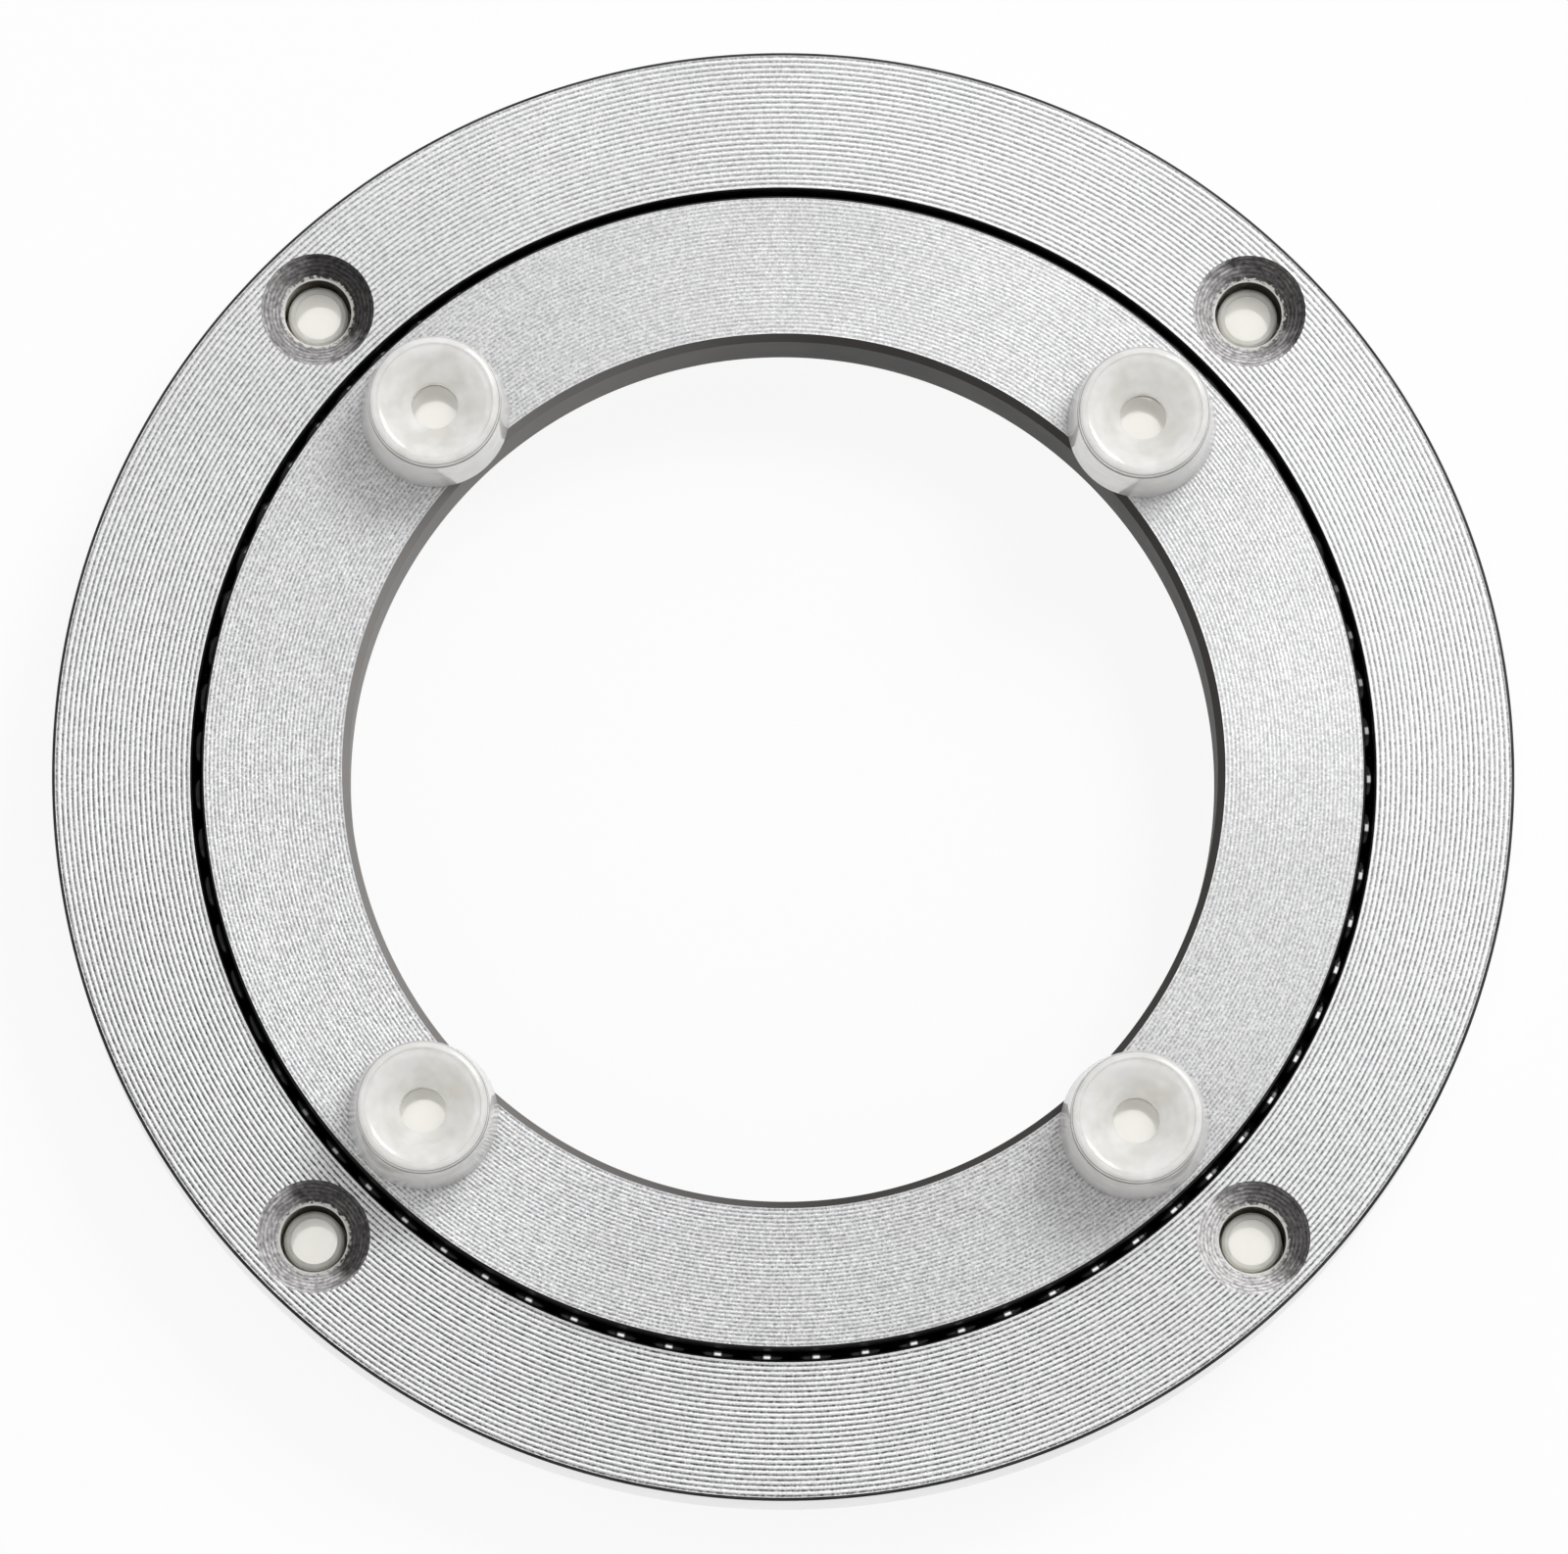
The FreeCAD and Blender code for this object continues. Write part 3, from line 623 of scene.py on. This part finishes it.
def lit_skin(name):
    """The skin across an eyelet: so thin that the light comes through it."""
    material, tree, shader, place = new_material(name)
    cloud = noise(tree, place, 900.0, 2.0)
    colour = blend_colours(tree, cloud, (0.97, 0.95, 0.895, 1.0), (0.99, 0.975, 0.925, 1.0))
    feed(tree, shader, Base_Color=colour, Metallic=0.0, Roughness=mottled(tree, cloud, 0.30, 0.40),
         IOR=1.06, Transmission_Weight=0.85)
    return material


milky_plastic = clear_plastic("milky_plastic", (0.82, 0.80, 0.755, 1.0), (0.97, 0.955, 0.915, 1.0))
# Painted shade: the dark grey plastic in the groove under the bead stands in for its shade.
shaded_groove_plastic = clear_plastic("shaded_groove_plastic", (0.26, 0.255, 0.245, 1.0), (0.34, 0.335, 0.32, 1.0))
bead_line_plastic = clear_plastic("bead_line_plastic", (0.33, 0.325, 0.31, 1.0), (0.44, 0.435, 0.42, 1.0))
thin_skin = lit_skin("thin_skin")


def moulding(name, profile, centre, seat, flipped):
    """A foot, or a pad when flipped to hang down, at its hole and with its seat at a height. Each step
    of push_in's profile has its finish: 1 on the skin's two faces, 2 in the groove, painted dark grey as
    painted shade under the bead, 3 on a darker grey line along the bead, and 0 elsewhere."""
    finish = np.zeros(len(profile), dtype=np.int32)
    finish[skin_steps] = 1
    finish[groove_steps] = 2
    finish[bead_line_step] = 3
    if flipped:
        profile = [(radius, -height) for radius, height in profile][::-1]
        finish = np.roll(finish[::-1], -1)
    mesh = turned(name, profile, moulding_steps, centre)
    mesh.transform(Matrix.Translation((0, 0, seat * MM)))
    for plastic in (milky_plastic, thin_skin, shaded_groove_plastic, bead_line_plastic):
        mesh.materials.append(plastic)
    mesh.polygons.foreach_set("material_index", np.tile(finish, moulding_steps))
    sharp_from = 35
    mesh.set_sharp_from_angle(angle=math.radians(sharp_from))
    return piece(name, mesh)


foot_profile = push_in(base=6.1, top=5.42, height=7.0, rounding=0.62, line=0.3, dish_from=4.66, lip=0.28,
                       dish=2.6, skin_top=3.1, skin_bottom=2.7)
for i in range(4):
    centre = on_circle(inner_holes, inner_hole_angle + 90 * i)
    foot = moulding(f"moulded_foot_{i + 1}", foot_profile, centre, inner_top, flipped=False)
    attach(foot, "base")
    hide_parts(f"foot_{i + 1}")

# Tray pads: the same plastic, low and flat, pushed into the outer ring from the tray's side. Their
# shanks' hollow ends show down in the countersunk holes.
pad_profile = push_in(base=5.0, top=4.7, height=2.0, rounding=0.35, line=0.2, dish_from=2.75, lip=0.05,
                      dish=0.4, skin_top=0.45 - shank_length, skin_bottom=0.15 - shank_length)
for i in range(4):
    centre = on_circle(outer_holes, outer_hole_angle + 90 * i)
    pad = moulding(f"moulded_pad_{i + 1}", pad_profile, centre, outer_bottom, flipped=True)
    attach(pad, "turntable")
    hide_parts(f"tray_pad_{i + 1}")

# Balls: 75 hardened steel balls, ground and polished, filling the race with no cage. They are in
# fifteen groups of five neighbours, as in the frame. They are painted near black as painted shade in
# the narrow gap, blackest where neighbours touch, and on one side of the row a bright patch on each
# crown is a painted glint.
ball_count, ball_radius, first_ball = 75, 2.0, -0.4
group_size = 5


def balls(name, angles):
    """Spheres on the ball circle: point (u, v) is the centre plus the radius times (sin pi v cos 2 pi u,
    sin pi v sin 2 pi u, cos pi v), with single points at the poles."""
    around, down = 24, 13
    polar = np.pi * np.arange(1, down) / down
    turn = 2 * np.pi * np.arange(around) / around
    ring = np.stack([np.outer(np.sin(polar), np.cos(turn)), np.outer(np.sin(polar), np.sin(turn)),
                     np.outer(np.cos(polar), np.ones(around))], axis=-1).reshape(-1, 3)
    unit = np.vstack([ring, [(0, 0, 1), (0, 0, -1)]])
    u, v = np.meshgrid(np.arange(around), np.arange(down - 2))
    side = (v + 1) * around
    next_u = (u + 1) % around
    quads = np.stack([v * around + u, side + u, side + next_u, v * around + next_u], axis=-1)
    u = np.arange(around)
    last = (down - 2) * around
    caps = [(np.full(around, last + around), u, (u + 1) % around),
            (np.full(around, last + around + 1), last + (u + 1) % around, last + u)]
    faces = quads.reshape(-1, 4).tolist()
    for cap in caps:
        faces += np.stack(cap, axis=-1).tolist()
    points, polygons = [], []
    for number, angle in enumerate(np.radians(angles)):
        centre = (ball_circle * math.cos(angle), ball_circle * math.sin(angle), ball_height)
        points.append((unit * ball_radius + centre) * MM)
        polygons += [[corner + number * len(unit) for corner in face] for face in faces]
    mesh = bpy.data.meshes.new(name)
    mesh.from_pydata(np.vstack(points).tolist(), [], polygons)
    mesh.shade_smooth()
    return mesh


def painted_ball_steel(name):
    """Polished steel painted near black, as painted shade in the narrow gap. With n the number of balls
    round from the first one, the triangle wave of n is 0 at a ball's crown line and 0.5 where two balls
    touch. Near 0.5 the steel is painted blacker still, as painted shade between the balls, and near 0 a
    small bright patch at the top of each ball is a painted glint on the side towards glint_direction."""
    glint_direction = (0.45, -0.89, 0.0)
    contact_shade, glint_steel = (0.004, 0.004, 0.004, 1.0), (0.93, 0.93, 0.93, 1.0)
    material, tree, shader, place = new_material(name)
    spot = add(tree, "ShaderNodeSeparateXYZ", {0: place}).outputs
    bearing = maths(tree, "ARCTAN2", spot["Y"], spot["X"])
    from_first = maths(tree, "SUBTRACT", bearing, math.radians(first_ball))
    number = maths(tree, "DIVIDE", from_first, 2 * math.pi / ball_count)
    off_crown = maths(tree, "PINGPONG", number, 0.5)
    off_contact = ramp(tree, off_crown, 0.26, 0.40, 1.0, 0.0, curve="SMOOTHSTEP")
    scuff = noise(tree, place, 1800.0, 2.0)
    from_row = maths(tree, "SUBTRACT", from_upright(tree, place), ball_circle * MM)
    across = ramp(tree, maths(tree, "ABSOLUTE", from_row), 0.10 * MM, 0.22 * MM, 1.0, 0.0)
    along = ramp(tree, off_crown, 0.05, 0.085, 1.0, 0.0)
    # Painted glint: a bright patch on each crown, only on the side towards glint_direction.
    towards_glint_side = vectors(tree, "DOT_PRODUCT", vectors(tree, "NORMALIZE", place), glint_direction)
    glint_side = ramp(tree, towards_glint_side, 0.05, 0.72, 0.0, 1.0)
    painted_glint = maths(tree, "MULTIPLY", maths(tree, "MULTIPLY", across, along), glint_side)
    # Painted shade: the steel is painted near black, and blacker where neighbours touch.
    shaded_steel = blend_colours(tree, scuff, (0.014, 0.014, 0.015, 1.0), (0.026, 0.026, 0.027, 1.0))
    steel_and_contact_shade = blend_colours(tree, off_contact, contact_shade, shaded_steel)
    feed(tree, shader, Base_Color=blend_colours(tree, painted_glint, steel_and_contact_shade, glint_steel), Metallic=off_contact,
         Roughness=mottled(tree, scuff, 0.06, 0.14), Specular_IOR_Level=0.03,
         Specular_Tint=(0.1, 0.1, 0.1, 1.0))
    return material


ball_steel = painted_ball_steel("ball_steel")
for group in range(ball_count // group_size):
    angles = first_ball + 360.0 / ball_count * (group * group_size + np.arange(group_size))
    mesh = balls(f"polished_balls_{group + 1:02d}", angles)
    mesh.materials.append(ball_steel)
    row = piece(f"polished_balls_{group + 1:02d}", mesh)
    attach(row, "ball_row")
    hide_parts(f"balls_{group + 1:02d}")

# Filler plug: a blackened steel grub screw that closes the hole the balls went in by. Its shape is
# the frame's own, and only its finish is made here.
plug_steel, tree, shader, place = new_material("blackened_steel")
bloom = noise(tree, place, 1400.0, 4.0)
black = blend_colours(tree, bloom, (0.03, 0.03, 0.033, 1.0), (0.12, 0.12, 0.125, 1.0))
feed(tree, shader, Base_Color=black, Metallic=0.9, Roughness=mottled(tree, bloom, 0.3, 0.5),
     Normal=bumped(tree, bloom, 0.3, 0.00004))
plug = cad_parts["filler_plug"]
plug.data.materials.clear()
plug.data.materials.append(plug_steel)
